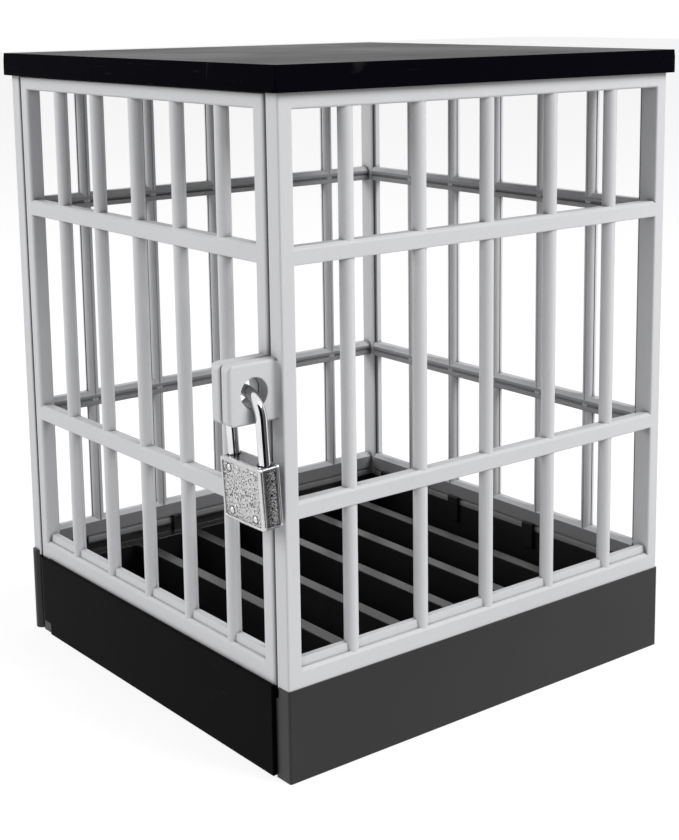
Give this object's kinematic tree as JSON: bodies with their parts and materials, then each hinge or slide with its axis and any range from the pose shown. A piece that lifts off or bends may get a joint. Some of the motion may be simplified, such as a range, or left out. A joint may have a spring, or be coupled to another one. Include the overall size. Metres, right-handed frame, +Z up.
{
  "type": "lockable phone cage",
  "caption": "Barred box with a black ribbed base and a flat roof; its barred door is hinged at the left and shut by a small padlock through a twin-plate hasp.",
  "frame": {"origin": "middle of the base's flat underside, under the middle of the four barred walls", "axes": "+Z up, the door faces -Y, +X towards the hasp and the padlock; the door's hinges are at -X"},
  "size_m": [0.1472, 0.1597, 0.188],
  "materials": {
    "grille": "moulded, satin",
    "black": "polished mould, glossy",
    "pin": "drawn, bright",
    "lock_core": "nickel plated, grained",
    "lock_cover": "nickel plated, polished border, grained middle",
    "shackle": "polished",
    "spring": "drawn wire",
    "brass": "turned"
  },
  "bodies": {
    "cage": {"base_tray": "black", "roof_cover": "black", "left_wall": "grille", "right_wall": "grille", "back_wall": "grille"},
    "door": {"door_grille": "grille", "door_skirt": "black", "upper_hinge_pin": "pin", "lower_hinge_pin": "pin"},
    "shackle": {"padlock_shackle": "shackle"},
    "padlock": {"padlock_body": "lock_core", "padlock_front_cover": "lock_cover", "padlock_back_cover": "lock_cover", "padlock_rivets": "lock_cover", "shackle_spring": "spring", "latch_spring": "spring", "plug_retainer": "pin"},
    "plug": {"key_plug": "brass", "plug_wafers": "brass"},
    "latch": {"locking_latch": "lock_core"}
  },
  "joints": [
    {"name": "door_swing", "type": "hinge", "parent": "cage", "child": "door", "pos_m": [-0.06385, -0.0694, 0.1], "axis": [0, 0, -1], "range_deg": [0, 100]},
    {"name": "padlock_swing", "type": "hinge", "parent": "cage", "child": "shackle", "pos_m": [0.06463, -0.0786, 0.10596], "axis": [-1, 0, 0], "range_deg": [-1.5, 80]},
    {"name": "shackle_release", "type": "slide", "parent": "shackle", "child": "padlock", "axis": [0, 0.061, -0.9981], "range_m": [0, 0.0068], "deforming": ["shackle_spring"]},
    {"name": "plug_turn", "type": "hinge", "parent": "padlock", "child": "plug", "pos_m": [0.06463, -0.07683, 0.07701], "axis": [0, 0.061, -0.9981], "range_deg": [0, 90]},
    {"name": "latch_slide", "type": "slide", "parent": "padlock", "child": "latch", "axis": [1, 0, 0], "range_m": [0, 0.00127], "deforming": ["latch_spring"]}
  ],
  "couplings": [
    {"joint": "plug_turn", "follows": "latch_slide", "rad_per_m": 1234}
  ]
}
